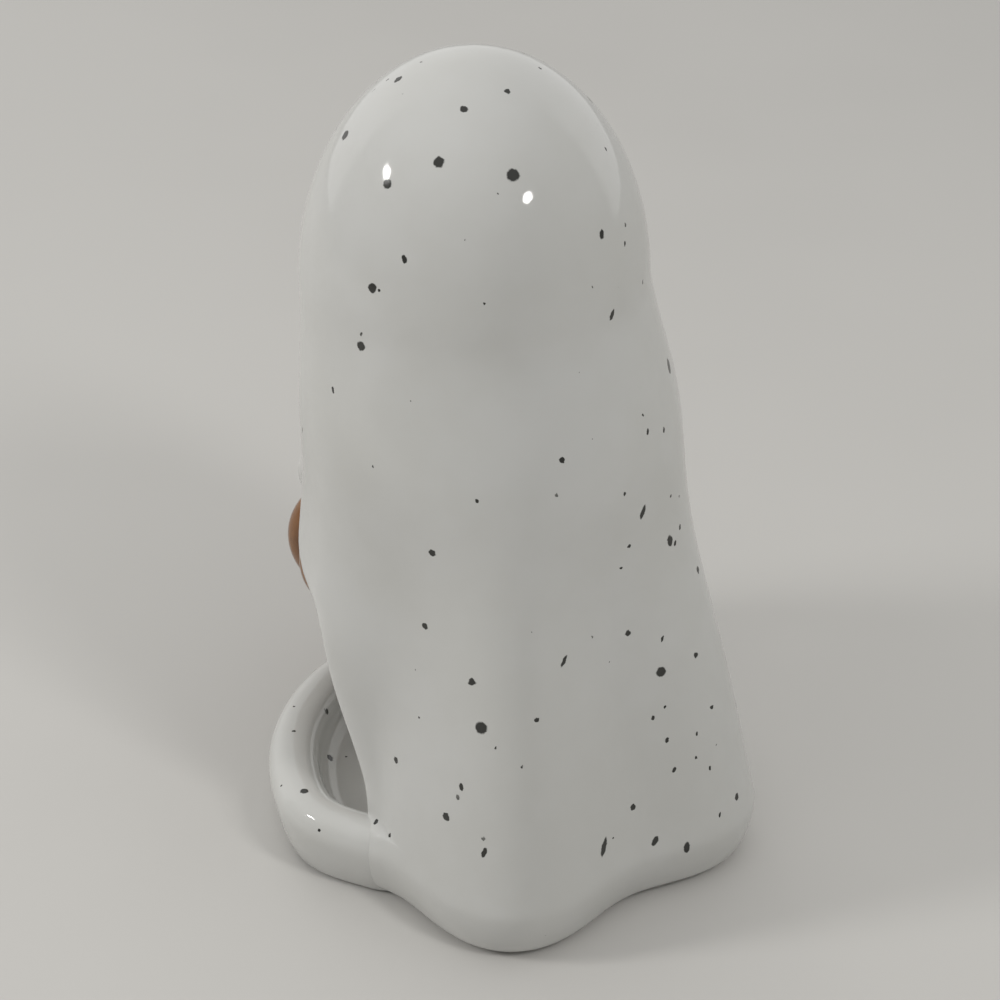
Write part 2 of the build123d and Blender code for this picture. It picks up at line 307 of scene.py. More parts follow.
class Bench:
    """Lays nodes into one node tree."""

    def __init__(self, tree: bpy.types.NodeTree) -> None:
        """Keeps the tree that the nodes go into."""
        self.tree = tree

    def node(self, kind: str, inputs: dict | None = None, **settings: object) -> bpy.types.Node:
        """Adds a node.

        Args:
            kind: Blender's name of the node type.
            inputs: values, or sockets to link from, by input name or number.
            **settings: attributes of the node.

        Returns:
            The new node.
        """
        node = self.tree.nodes.new(kind)
        for key, value in settings.items():
            setattr(node, key, value)
        for key, value in (inputs or {}).items():
            self.feed(value, node.inputs[key])
        return node

    def feed(self, value: object, socket: Socket) -> None:
        """Links a socket to an input, or sets the input's own value."""
        if isinstance(value, Socket):
            self.tree.links.new(value, socket)
        elif socket.type == "RGBA" and len(value) == 3:
            socket.default_value = (*value, 1.0)
        else:
            socket.default_value = value

    def maths(self, operation: str, *values: object) -> Socket:
        """A Math node's result."""
        node = self.node("ShaderNodeMath", dict(enumerate(values)), operation=operation)
        return node.outputs[0]

    def vector(self, operation: str, *values: object) -> Socket:
        """A Vector Math node's result that is a vector."""
        node = self.node("ShaderNodeVectorMath", dict(enumerate(values)), operation=operation)
        return node.outputs["Vector"]

    def measure(self, operation: str, *values: object) -> Socket:
        """A Vector Math node's result that is a number."""
        node = self.node("ShaderNodeVectorMath", dict(enumerate(values)), operation=operation)
        return node.outputs["Value"]

    def scaled(self, vector: object, scale: object) -> Socket:
        """A vector times a number."""
        node = self.node("ShaderNodeVectorMath", {0: vector, "Scale": scale}, operation="SCALE")
        return node.outputs["Vector"]

    def ramp(self, value: object, low: object, high: object, start: float = 0.0, end: float = 1.0) -> Socket:
        """A value mapped smoothly from low and high to start and end."""
        inputs = {"Value": value, "From Min": low, "From Max": high, "To Min": start, "To Max": end}
        return self.node("ShaderNodeMapRange", inputs, interpolation_type="SMOOTHSTEP").outputs["Result"]

    def blend(self, share: object, first: object, second: object) -> Socket:
        """A colour mixed from two by a share."""
        node = self.node("ShaderNodeMix", {0: share, 6: first, 7: second}, data_type="RGBA")
        return node.outputs[2]

    def noise(self, vector: Socket, scale: float, detail: float = 2.0, roughness: float = 0.5) -> Socket:
        """A noise texture's value, with its scale per metre."""
        inputs = {"Vector": vector, "Scale": scale, "Detail": detail, "Roughness": roughness}
        return self.node("ShaderNodeTexNoise", inputs).outputs[0]

    def mix(self, first: Socket, second: Socket, share: float) -> Socket:
        """Two values added, the second by a share and the first by the rest."""
        rest = self.maths("MULTIPLY", first, 1.0 - share)
        return self.maths("ADD", rest, self.maths("MULTIPLY", second, share))

    def attribute(self, name: str) -> Socket:
        """A value that the mesh carries."""
        return self.node("ShaderNodeAttribute", attribute_name=name).outputs["Fac"]


@dataclass(frozen=True)
class Bump:
    """Strength of a fine relief, and its depth in millimetres."""

    strength: float
    depth: float


class Paint:
    """A new material, with a bench on its tree, its Principled shader and the object coordinates."""

    def __init__(self, name: str) -> None:
        """Starts the material."""
        self.material = bpy.data.materials.new(name)
        self.material.use_nodes = True
        self.bench = Bench(self.material.node_tree)
        self.shader = self.material.node_tree.nodes["Principled BSDF"]
        self.where = self.bench.node("ShaderNodeTexCoord").outputs["Object"]

    def dress(self, colour: Socket, roughness: Socket, relief: Socket, bump: Bump) -> bpy.types.Material:
        """Feeds the shader.

        Args:
            colour: the base colour.
            roughness: the roughness.
            relief: height of the fine relief.
            bump: how far the relief shows.

        Returns:
            The material.
        """
        self.bench.feed(colour, self.shader.inputs["Base Color"])
        self.bench.feed(roughness, self.shader.inputs["Roughness"])
        inputs = {"Strength": bump.strength, "Distance": bump.depth * MM, "Height": relief}
        normal = self.bench.node("ShaderNodeBump", inputs).outputs["Normal"]
        self.bench.feed(normal, self.shader.inputs["Normal"])
        return self.material


@dataclass(frozen=True)
class PlacedSpeck:
    """One of the larger specks of the glaze, seen at a pixel of the photograph.

    The pixel is in a frame of 1000 by 1000. The width is in millimetres, the stretch is its length over its
    width, and the lean turns its length clockwise from upright, in degrees.
    """

    x: int
    y: int
    width: float
    stretch: float = 1.2
    lean: float = 0.0


@dataclass(frozen=True)
class SeatedSpeck:
    """A placed speck on the surface: its middle, its long axis and its size, in metres of the row frame."""

    middle: Vector
    axis: Vector
    radius: float
    stretch: float


@dataclass(frozen=True)
class PhotoCamera:
    """Camera at the photograph's viewing angle, about a point on the hem's axis."""

    azimuth: float = 144.5
    elevation: float = 32.2
    distance: float = 500.0
    aim_height: float = 70.0
    focal_pixels: float = 2785.0
    frame_pixels: float = 1000.0
    aim_pixel: tuple[float, float] = (506.8, 486.4)
    sensor: float = 36.0
    nearest: float = 0.01

    def toward(self) -> Vector:
        """Direction from the figure to the camera."""
        return direction(self.azimuth, self.elevation)

    def stand(self, place: Place) -> Matrix:
        """The camera's place and turn in the row frame.

        Args:
            place: where the figure is.

        Returns:
            The camera's matrix, which looks a little past the aim so that the aim falls on its own pixel.
        """
        aim = Vector((0.0, 0.0, self.aim_height))
        spot = aim + self.distance * self.toward()
        view = self.toward().to_track_quat("Z", "Y").to_matrix()
        per_pixel = self.distance / self.focal_pixels
        middle = self.frame_pixels / 2.0
        aside = view @ Vector((middle - self.aim_pixel[0], self.aim_pixel[1] - middle, 0.0)) * per_pixel
        turn = (spot - aim - aside).to_track_quat("Z", "Y").to_matrix().to_4x4()
        return Matrix.Translation(place.row(spot)) @ turn

    def ray(self, place: Place, pixel: tuple[float, float]) -> tuple[Vector, Vector]:
        """The line of sight through a pixel, as a start and a direction in the row frame."""
        matrix = self.stand(place)
        middle = self.frame_pixels / 2.0
        local = Vector((pixel[0] - middle, middle - pixel[1], -self.focal_pixels))
        return matrix.translation, (matrix.to_3x3() @ local).normalized()

    def make(self, place: Place) -> None:
        """Adds the camera to the scene and uses it."""
        data = bpy.data.cameras.new("photo_camera")
        data.sensor_width = self.sensor
        data.lens = self.focal_pixels / self.frame_pixels * self.sensor
        data.clip_start = self.nearest
        camera = bpy.data.objects.new("photo_camera", data)
        camera.matrix_world = self.stand(place)
        bpy.context.scene.collection.objects.link(camera)
        bpy.context.scene.camera = camera


@dataclass(frozen=True)
class SpeckClass:
    """Specks of one size: how far apart and how wide, in millimetres, and the share of spots that have one.

    An unseen class keeps to the side away from the camera, where no speck has a place of its own.
    """

    spacing: float
    radius: float
    share: float
    unseen: bool = False


@dataclass(frozen=True)
class WhiteGlaze:
    """Glossy off-white glaze with dark iron specks."""

    name: str = "speckled_white"
    slot: str = "white_glaze"
    base: Colour = (0.560, 0.560, 0.545)
    pooled: Colour = (0.520, 0.518, 0.495)
    thin: Colour = (0.610, 0.608, 0.592)
    speck: Colour = (0.026, 0.026, 0.023)
    pale_speck: Colour = (0.150, 0.150, 0.140)
    roughness: float = 0.055
    ior: float = 1.52
    roughness_spread: float = 0.03
    speck_roughness: float = 0.05
    drift_scale: float = 28.0
    cloud_scale: float = 160.0
    cloud_share: float = 0.2
    pool_range: tuple[float, float] = (0.35, 0.68)
    pool_share: float = 0.75
    ripple_scale: float = 210.0
    bump: Bump = Bump(0.20, 0.25)
    rim: float = 0.2
    long_stretch: float = 1.45
    ragged_scale: float = 1500.0
    ragged_shift: float = 0.55
    squat: Colour = (1.0, 1.0, 0.75)
    tone_scale: float = 420.0
    pale_range: tuple[float, float] = (0.40, 0.65)
    smallest: float = 0.55
    core: float = 0.75
    unseen_depth: float = -2.0
    classes: tuple[SpeckClass, ...] = (
        SpeckClass(spacing=9.0, radius=0.50, share=0.55),
        SpeckClass(spacing=5.0, radius=0.26, share=0.45),
        SpeckClass(spacing=6.5, radius=0.95, share=0.75, unseen=True),
        SpeckClass(spacing=4.3, radius=0.50, share=0.70, unseen=True),
    )

    def one_speck(self, bench: Bench, where: Socket, speck: SeatedSpeck) -> Socket:
        """Masks one placed speck, with a rim that fades over a share of its radius.

        Args:
            bench: the bench of the tree it goes into.
            where: the shaken coordinates.
            speck: the speck.

        Returns:
            The mask, which goes below 0 outside the speck and above 1 within its rim.
        """
        radius = speck.radius
        if speck.stretch < self.long_stretch:
            radius *= math.sqrt(speck.stretch)
            length = bench.measure("DISTANCE", where, speck.middle)
        else:
            away = bench.vector("SUBTRACT", where, speck.middle)
            along = bench.measure("DOT_PRODUCT", away, speck.axis * (1.0 / speck.stretch - 1.0))
            length = bench.measure("LENGTH", bench.vector("ADD", away, bench.scaled(speck.axis, along)))
        return bench.maths("MULTIPLY_ADD", length, -1.0 / (self.rim * radius), 1.0 / self.rim)

    def speckle(self, placed: list[SeatedSpeck], toward: Vector) -> bpy.types.NodeTree:
        """Node group that masks every speck of the glaze.

        Args:
            placed: the specks that have a place of their own.
            toward: direction of the camera that they were seen from.

        Returns:
            A group that gives a mask and the paleness of the speck there.
        """
        tree = bpy.data.node_groups.new("iron_specks", "ShaderNodeTree")
        tree.interface.new_socket("Vector", in_out="INPUT", socket_type="NodeSocketVector")
        for label in ("Mask", "Paleness"):
            tree.interface.new_socket(label, in_out="OUTPUT", socket_type="NodeSocketFloat")
        bench = Bench(tree)
        given = bench.node("NodeGroupInput").outputs["Vector"]
        leave = bench.node("NodeGroupOutput")
        ragged = bench.noise(given, self.ragged_scale, detail=1.0).node.outputs["Color"]
        shake = bench.scaled(bench.vector("SUBTRACT", ragged, (0.5, 0.5, 0.5)), self.ragged_shift * MM)
        where = bench.vector("ADD", given, shake)
        large = 0.0
        for speck in placed:
            large = bench.maths("MAXIMUM", large, self.one_speck(bench, where, speck))
        large = bench.maths("MINIMUM", large, 1.0)
        squat = bench.vector("MULTIPLY", where, self.squat)
        level = Vector((toward.x, toward.y, 0.0)).normalized()
        depth = bench.measure("DOT_PRODUCT", given, level)
        behind = bench.maths("LESS_THAN", depth, self.unseen_depth * MM)
        fine = 0.0
        for grade in self.classes:
            spot = self.speck_class(bench, squat, behind, grade)
            fine = bench.maths("MAXIMUM", fine, spot)
        bench.feed(bench.maths("MAXIMUM", large, fine), leave.inputs["Mask"])
        tone = bench.ramp(bench.noise(given, self.tone_scale, detail=1.0), *self.pale_range)
        pale = bench.maths("MULTIPLY", bench.maths("SUBTRACT", 1.0, large), tone)
        bench.feed(pale, leave.inputs["Paleness"])
        return tree

    def speck_class(self, bench: Bench, where: Socket, behind: Socket, grade: SpeckClass) -> Socket:
        """Masks the scattered specks of one class.

        Args:
            bench: the bench of the tree they go into.
            where: the shaken coordinates.
            behind: 1 on the side away from the camera.
            grade: the class.

        Returns:
            The mask.
        """
        scale = 1.0 / (grade.spacing * MM)
        cell = bench.node("ShaderNodeTexVoronoi", {"Vector": where, "Scale": scale})
        chance = bench.node("ShaderNodeSeparateColor", {0: cell.outputs["Color"]})
        size = bench.ramp(chance.outputs[1], 0.0, 1.0, self.smallest, 1.0)
        limit = bench.maths("MULTIPLY", size, grade.radius / grade.spacing)
        inner = bench.maths("MULTIPLY", limit, self.core)
        spot = bench.ramp(cell.outputs["Distance"], inner, limit, 1.0, 0.0)
        there = bench.maths("LESS_THAN", chance.outputs[0], grade.share)
        if grade.unseen:
            there = bench.maths("MULTIPLY", there, behind)
        return bench.maths("MULTIPLY", spot, there)

    def make(self, placed: list[SeatedSpeck], toward: Vector) -> bpy.types.Material:
        """The glaze as a material.

        Args:
            placed: the specks that have a place of their own.
            toward: direction of the camera that they were seen from.

        Returns:
            The material.
        """
        paint = Paint(self.name)
        bench = paint.bench
        specks = bench.node("ShaderNodeGroup", {}, node_tree=self.speckle(placed, toward))
        bench.feed(paint.where, specks.inputs["Vector"])
        mask = specks.outputs["Mask"]
        drift = bench.noise(paint.where, self.drift_scale, detail=3.0)
        cloud = bench.noise(paint.where, self.cloud_scale, detail=3.0)
        thin = bench.attribute("thin_glaze")
        pool = bench.ramp(bench.mix(drift, cloud, self.cloud_share), *self.pool_range)
        coat = bench.blend(bench.maths("MULTIPLY", pool, self.pool_share), self.base, self.pooled)
        coat = bench.blend(thin, coat, self.thin)
        iron = bench.blend(specks.outputs["Paleness"], self.speck, self.pale_speck)
        colour = bench.blend(mask, coat, iron)
        gloss = bench.ramp(cloud, *GLOSS_RANGE, self.roughness, self.roughness + self.roughness_spread)
        rough = bench.maths("ADD", gloss, bench.maths("MULTIPLY", mask, self.speck_roughness))
        bench.feed(self.ior, paint.shader.inputs["IOR"])
        ripple = bench.noise(paint.where, self.ripple_scale)
        return paint.dress(colour, rough, ripple, self.bump)


@dataclass(frozen=True)
class OrangeGlaze:
    """Burnt-orange glaze that breaks paler on the ribs and pools dark in the grooves."""

    name: str = "burnt_orange"
    slot: str = "orange_glaze"
    rib: Colour = (0.205, 0.090, 0.031)
    groove: Colour = (0.105, 0.042, 0.014)
    fleck: Colour = (0.060, 0.025, 0.010)
    roughness: float = 0.14
    roughness_spread: float = 0.10
    wander_scale: float = 240.0
    wander_share: float = 0.9
    crest_range: tuple[float, float] = (0.02, 0.75)
    fleck_scale: float = 1400.0
    fleck_range: tuple[float, float] = (0.66, 0.74)
    fleck_share: float = 0.6
    bump: Bump = Bump(0.25, 0.4)

    def make(self) -> bpy.types.Material:
        """The glaze as a material."""
        paint = Paint(self.name)
        bench = paint.bench
        crest = bench.attribute("rib_crest")
        wander = bench.noise(paint.where, self.wander_scale, detail=4.0, roughness=0.6)
        strayed = bench.maths("MULTIPLY", bench.maths("SUBTRACT", wander, 0.5), self.wander_share)
        level = bench.maths("ADD", crest, strayed)
        colour = bench.blend(bench.ramp(level, *self.crest_range), self.groove, self.rib)
        flecks = bench.ramp(bench.noise(paint.where, self.fleck_scale), *self.fleck_range)
        colour = bench.blend(bench.maths("MULTIPLY", flecks, self.fleck_share), colour, self.fleck)
        rough = bench.ramp(wander, *GLOSS_RANGE, self.roughness, self.roughness + self.roughness_spread)
        return paint.dress(colour, rough, wander, self.bump)


@dataclass(frozen=True)
class BrownGlaze:
    """Satin brown glaze, streaked along the stem."""

    name: str = "streaked_brown"
    slot: str = "brown_glaze"
    light: Colour = (0.115, 0.068, 0.028)
    dark: Colour = (0.030, 0.019, 0.010)
    roughness: float = 0.34
    roughness_spread: float = 0.14
    streak_scale: float = 1100.0
    streak_range: tuple[float, float] = (0.34, 0.66)
    drawn: Colour = (1.0, 1.0, 0.22)
    bump: Bump = Bump(0.45, 0.3)

    def make(self) -> bpy.types.Material:
        """The glaze as a material."""
        paint = Paint(self.name)
        bench = paint.bench
        drawn = bench.vector("MULTIPLY", paint.where, self.drawn)
        streak = bench.noise(drawn, self.streak_scale, detail=3.0, roughness=0.6)
        colour = bench.blend(bench.ramp(streak, *self.streak_range), self.dark, self.light)
        rough = bench.ramp(streak, *MATT_RANGE, self.roughness, self.roughness + self.roughness_spread)
        return paint.dress(colour, rough, streak, self.bump)


@dataclass(frozen=True)
class BlackGlaze:
    """Black gloss glaze with brown where it runs thin."""

    name: str = "gloss_black"
    slot: str = "black_glaze"
    deep: Colour = (0.010, 0.010, 0.011)
    thin: Colour = (0.046, 0.034, 0.024)
    roughness: float = 0.07
    roughness_spread: float = 0.06
    drift_scale: float = 500.0
    drift_range: tuple[float, float] = (0.25, 0.7)
    bump: Bump = Bump(0.15, 0.2)

    def make(self) -> bpy.types.Material:
        """The glaze as a material."""
        paint = Paint(self.name)
        bench = paint.bench
        rim = bench.attribute("thin_glaze")
        drift = bench.noise(paint.where, self.drift_scale, detail=3.0)
        share = bench.maths("MULTIPLY", rim, bench.ramp(drift, *self.drift_range))
        colour = bench.blend(share, self.deep, self.thin)
        rough = bench.ramp(drift, *GLOSS_RANGE, self.roughness, self.roughness + self.roughness_spread)
        return paint.dress(colour, rough, drift, self.bump)


@dataclass(frozen=True)
class BareClay:
    """Matt unglazed clay under the foot, wiped and a little stained."""

    name: str = "wiped_clay"
    slot: str = "bare_clay"
    pale: Colour = (0.560, 0.510, 0.440)
    stained: Colour = (0.400, 0.340, 0.270)
    roughness: float = 0.86
    roughness_spread: float = 0.10
    stain_scale: float = 70.0
    stain_range: tuple[float, float] = (0.36, 0.66)
    grain_scale: float = 2600.0
    grain_share: float = 0.25
    bump: Bump = Bump(0.5, 0.2)

    def make(self) -> bpy.types.Material:
        """The clay as a material."""
        paint = Paint(self.name)
        bench = paint.bench
        stain = bench.noise(paint.where, self.stain_scale, detail=4.0, roughness=0.6)
        grain = bench.noise(paint.where, self.grain_scale)
        level = bench.mix(stain, grain, self.grain_share)
        colour = bench.blend(bench.ramp(level, *self.stain_range), self.pale, self.stained)
        rough = bench.ramp(grain, *MATT_RANGE, self.roughness - self.roughness_spread, self.roughness)
        return paint.dress(colour, rough, level, self.bump)


@dataclass(frozen=True)
class PadRubber:
    """Milky rubber of the stick-on pads, with fine moulding grain and a little dust."""

    name: str = "milky_rubber"
    slot: str = "pad_rubber"
    clean: Colour = (0.560, 0.560, 0.545)
    dusty: Colour = (0.400, 0.390, 0.365)
    roughness: float = 0.48
    roughness_spread: float = 0.25
    dust_scale: float = 420.0
    dust_range: tuple[float, float] = (0.42, 0.68)
    grain_scale: float = 4200.0
    bump: Bump = Bump(0.3, 0.1)

    def make(self) -> bpy.types.Material:
        """The rubber as a material."""
        paint = Paint(self.name)
        bench = paint.bench
        dust = bench.noise(paint.where, self.dust_scale, detail=4.0, roughness=0.65)
        grain = bench.noise(paint.where, self.grain_scale, detail=1.0)
        colour = bench.blend(bench.ramp(dust, *self.dust_range), self.clean, self.dusty)
        rough = bench.ramp(dust, *MATT_RANGE, self.roughness, self.roughness + self.roughness_spread)
        return paint.dress(colour, rough, grain, self.bump)


def finish_piece(
    bm: bmesh.types.BMesh, name: str, material: bpy.types.Material, levels: int = 1
) -> bpy.types.Object:
    """Makes an object of a bmesh, smooth-shaded and subdivided, that rides on the figure's body.

    Args:
        bm: the mesh, which is freed.
        name: the piece's name.
        material: its finish.
        levels: how often it is subdivided.

    Returns:
        The object.
    """
    bmesh.ops.recalc_face_normals(bm, faces=bm.faces)
    for face in bm.faces:
        face.smooth = True
    mesh = bpy.data.meshes.new(name)
    bm.to_mesh(mesh)
    bm.free()
    mesh.materials.append(material)
    piece = bpy.data.objects.new(name, mesh)
    bpy.context.scene.collection.objects.link(piece)
    if levels:
        smooth = piece.modifiers.new("smooth", "SUBSURF")
        smooth.levels = levels
        smooth.render_levels = levels
    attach(piece, BODY)
    log.info("made %s: %d faces before subdivision", name, len(mesh.polygons))
    return piece


def spun(
    points: list[tuple[float, float]], steps: int, start: float = 90.0, sweep: float = 360.0
) -> bmesh.types.BMesh:
    """Spins a section about the upright axis.

    Args:
        points: radii and heights of the section.
        steps: how many steps the spin takes.
        start: the angle from the front at which it starts, in degrees.
        sweep: how far it goes, in degrees. A full turn is closed.

    Returns:
        The mesh, with a layer for the thin glaze.
    """
    bm = bmesh.new()
    bm.verts.layers.float.new("thin_glaze")
    across = direction(start)
    verts = [bm.verts.new(across * radius + Vector((0.0, 0.0, height))) for radius, height in points]
    rails = [bm.edges.new(pair) for pair in zip(verts, verts[1:])]
    turn = {"cent": (0, 0, 0), "axis": (0, 0, 1), "angle": math.radians(sweep), "steps": steps}
    whole = sweep == 360.0
    bmesh.ops.spin(bm, geom=verts + rails, use_merge=whole, **turn)
    if whole:
        bmesh.ops.remove_doubles(bm, verts=bm.verts, dist=WELD)
    return bm


@dataclass
class GhostSheet:
    """The cast body: the draped sheet, its hem and foot, and the walls of the open bay."""

    form: SheetForm
    bay: Bay
    place: Place
    columns: int = 144
    open_half: float = 80.0
    ceiling_start: float = 0.80
    ceiling_power: int = 8
    edge_reach: int = 3
    edge_rounds: int = 3
    edge_thinning: float = 2.5
    edge_blend: float = 0.88
    pocket_depth: float = 5.0
    pocket_middle: float = 14.0
    pocket_lip: float = 0.5
    pocket_chamfer: float = 0.6
    heel: float = 1.3
    heel_inset: float = 1.5
    heel_bevel: float = 0.45
    heel_rows: tuple[int, ...] = (3, 4, 5)
    heel_thinning: float = 0.6
    low_steps: int = 4
    bay_steps: int = 14
    skirt_steps: int = 18
    head_lifts: tuple[float, ...] = (*range(5, 85, 5), 83.5, 86.5, 88.5)

    def rows(self) -> list[tuple[float, float]]:
        """Heights and insets of the rows of points, from the slab's pocket round the hem to the crown."""
        form = self.form
        corner = self.corner_height()
        rows = [(self.pocket_depth, form.wall), (self.pocket_lip, form.wall)]
        rows.append((0.0, form.wall - self.pocket_chamfer))
        rows += [(0.0, self.heel_inset), (self.heel_bevel, self.heel_bevel), (self.heel, 0.0)]
        levels = stair(self.heel, form.ledge_foot, self.low_steps)[:-1] + form.ledge_heights()
        levels += stair(form.ledge_end, corner, self.bay_steps)
        levels += stair(corner, form.head_equator, self.skirt_steps)
        rise = form.height - form.head_equator
        levels += [form.head_equator + rise * math.sin(math.radians(lift)) for lift in self.head_lifts]
        return rows + [(level, 0.0) for level in levels]

    def corner_height(self) -> float:
        """Height at which the arch meets the upright edges of the bay."""
        height = self.bay.height
        for _ in range(ROUNDS):
            point = self.form.skin(self.bay.edge_angle(self.form, height), height)
            height = self.bay.arch_z(point.x)
        return height

    def arch_height(self, angle: float) -> float:
        """Height of the arched edge on the skin at an angle."""
        height = self.bay.height
        for _ in range(ROUNDS):
            height = self.bay.arch_z(self.form.skin(angle, height).x)
        return height

    def seat(
        self, turn: float, row: int, rows: list[tuple[float, float]], corner: float, arch_row: int
    ) -> Vector:
        """Where a point of the spun ladder goes.

        Args:
            turn: the point's angle from the front, in degrees.
            row: its row.
            rows: heights and insets of the rows.
            corner: height of the arch's ends.
            arch_row: the row that the arch lies on.

        Returns:
            The point about the hem's axis, in millimetres.
        """
        height, inset = rows[row]
        within = abs(turn) < self.open_half - SLACK
        if within and row < arch_row:
            return self.bay_seat(turn / self.open_half, height, inset, corner)
        edge = self.bay.edge_angle(self.form, min(height, corner))
        if abs(turn) <= self.open_half:
            angle = turn / self.open_half * edge
        else:
            rest = (180.0 - abs(turn)) / (180.0 - self.open_half)
            angle = math.copysign(180.0 - (180.0 - edge) * rest, turn)
        if within and height < self.form.head_equator:
            share = (self.form.head_equator - height) / (self.form.head_equator - corner)
            height += (self.arch_height(angle) - corner) * share * share
        return self.form.skin(angle, height, inset)

    def bay_seat(self, across: float, height: float, inset: float, corner: float) -> Vector:
        """A point of the bay's walls.

        Args:
            across: from -1 at the right edge to 1 at the left edge.
            height: height of the point's row.
            inset: how far behind the wall's face it lies.
            corner: height of the arch's ends.

        Returns:
            The point about the hem's axis, in millimetres.
        """
        up = height / corner
        turn_over = self.ceiling_start + (1.0 - self.ceiling_start) * abs(across) ** self.ceiling_power
        edge_top = self.form.skin(self.bay.edge_angle(self.form, corner), corner)
        top = self.bay.arch_z(across * edge_top.x)
        level = top * min(up / turn_over, 1.0) if inset == 0.0 else height
        edge = self.form.skin(self.bay.edge_angle(self.form, level), min(level, corner))
        x = across * edge.x
        near_edge = smooth_share(abs(across), self.edge_blend, 1.0)
        y = self.bay.wall_y(x, level) * (1.0 - near_edge) + self.bay.back_y(level) * near_edge
        wall = Vector((x, y + inset, level))
        if up <= turn_over:
            return wall
        angle = across * self.bay.edge_angle(self.form, corner)
        rim = self.form.skin(angle, self.arch_height(angle))
        return wall.lerp(rim, (up - turn_over) / (1.0 - turn_over))

    def build(self) -> bmesh.types.BMesh:
        """Spins a ladder of rungs and seats each of its points on the form."""
        rows = self.rows()
        corner = self.corner_height()
        arch_row = max(i for i, (height, _) in enumerate(rows) if height <= corner + WELD)
        ladder = [(0.0, -1.0), *((1.0, float(rung)) for rung in range(len(rows))), (0.0, float(len(rows)))]
        bm = spun(ladder, self.columns)
        thin = bm.verts.layers.float["thin_glaze"]
        column_turn = 360.0 / self.columns
        near = []
        for vert in bm.verts:
            row = round(vert.co.z)
            turn = math.degrees(math.atan2(vert.co.x, -vert.co.y))
            if row < 0:
                vert.co = self.place.row(Vector((0.0, self.pocket_middle, self.pocket_depth)))
                continue
            if row == len(rows):
                vert.co = self.place.row(self.form.skin(0.0, self.form.height))
                continue
            aside = abs(abs(turn) - self.open_half) / column_turn
            beside = aside <= self.edge_reach + SLACK and row <= arch_row + self.edge_reach
            over = abs(row - arch_row) <= self.edge_reach and abs(turn) <= self.open_half
            if rows[row][0] > self.form.ledge_end and (beside or over):
                near.append(vert)
                gaps = [aside] if row <= arch_row else []
                gaps += [abs(row - arch_row)] if over else []
                vert[thin] = max(0.0, 1.0 - min(gaps, default=self.columns) / self.edge_thinning)
            elif row in self.heel_rows:
                vert[thin] = self.heel_thinning
            vert.co = self.place.row(self.seat(turn, row, rows, corner, arch_row))
        axes = {"use_axis_x": True, "use_axis_y": True, "use_axis_z": True}
        for _ in range(self.edge_rounds):
            bmesh.ops.smooth_vert(bm, verts=near, factor=0.5, **axes)
        return bm


@dataclass
class FrontDish:
    """Dish with a rolled lip in the front of the foot, whose ends run along the hem and dive into the sheet.

    The heel's points go outwards from the foot's radius, and up.
    """

    form: SheetForm
    place: Place
    lip_radius: float = 45.4
    lip_height: float = 14.0
    lip_thickness: float = 8.4
    lip_spread: float = 1.2
    lip_fullness: float = 3.0
    foot_radius: float = 43.0
    foot_ring: float = 3.0
    heel: tuple[tuple[float, float], ...] = (
        (-2.4, 0.0), (-1.6, 0.0), (-0.5, 0.4), (0.1, 1.4), (0.5, 3.4), (1.2, 5.8),
    )
    floor: float = 5.0
    bowl_rounding: float = 6.5
    floor_middle: float = 26.0
    floor_end: float = 8.0
    underside: float = 0.3
    half_turn: float = 116.0
    steps: int = 116
    blend_start: float = 58.0
    blend_end: float = 84.0
    dive_start: float = 103.0
    dive_depth: float = 3.0
    skin_cover: float = -0.10

    def profile(self) -> list[tuple[float, float]]:
        """Radii and heights of the dish's section, from its underside over the lip to the floor."""
        roll = self.lip_thickness / 2.0
        middle = (self.lip_radius - roll, self.lip_height - roll)
        points = [(self.floor_end, self.underside), (self.floor_middle, self.underside)]
        points.append((self.foot_radius - self.foot_ring, self.underside))
        points += [(self.foot_radius + out, height) for out, height in self.heel]
        for turn in range(-20, 181, 20):
            angle = math.radians(turn)
            across, rise = roll * math.cos(angle), roll * math.sin(angle)
            if across < 0.0 < rise:
                power = self.lip_fullness
                fuller = (abs(math.cos(angle)) ** power + math.sin(angle) ** power) ** (-1.0 / power)
                across, rise = across * fuller, rise * fuller
            if across < 0.0:
                across *= 1.0 + 2.0 * self.lip_spread / self.lip_thickness
            points.append((middle[0] + across, middle[1] + rise))
        rim = self.lip_radius - self.lip_thickness - self.lip_spread
        for turn in range(18, 91, 18):
            angle = math.radians(turn)
            across = rim - self.bowl_rounding * (1.0 - math.cos(angle))
            points.append((across, middle[1] - (middle[1] - self.floor) * math.sin(angle)))
        points += [(self.floor_middle, self.floor), (self.floor_end, self.floor)]
        return points

    def build(self) -> bmesh.types.BMesh:
        """Spins the section about the hem's axis and draws its ends in along the hem."""
        bm = spun(self.profile(), self.steps, -self.half_turn, 2.0 * self.half_turn)
        for vert in bm.verts:
            vert.co = self.place.row(self.drawn_in(vert.co))
        return bm

    def drawn_in(self, point: Vector) -> Vector:
        """A point of the plain round dish, moved along the hem's own line near the dish's ends.

        The foot follows the hem's skin, and the lip keeps its roll and moves as a whole.

        Args:
            point: the point about the hem's axis.

        Returns:
            The moved point.
        """
        angle = math.degrees(math.atan2(point.x, -point.y))
        radius = math.hypot(point.x, point.y)
        lip_centre = self.lip_height - self.lip_thickness / 2.0
        on_foot = point.z < lip_centre and radius > self.lip_radius - self.lip_thickness
        outer = radius if on_foot else self.lip_radius
        level = point.z if on_foot else lip_centre
        dive = self.dive_depth * smooth_share(abs(angle), self.dive_start, self.half_turn)
        hem = self.form.full_reach(angle, level) - self.skin_cover - dive
        share = smooth_share(abs(angle), self.blend_start, self.blend_end)
        moved = radius + (hem - outer) * share
        sunk = point.z - dive if point.z > self.floor else point.z
        return Vector((point.x * moved / radius, point.y * moved / radius, sunk))


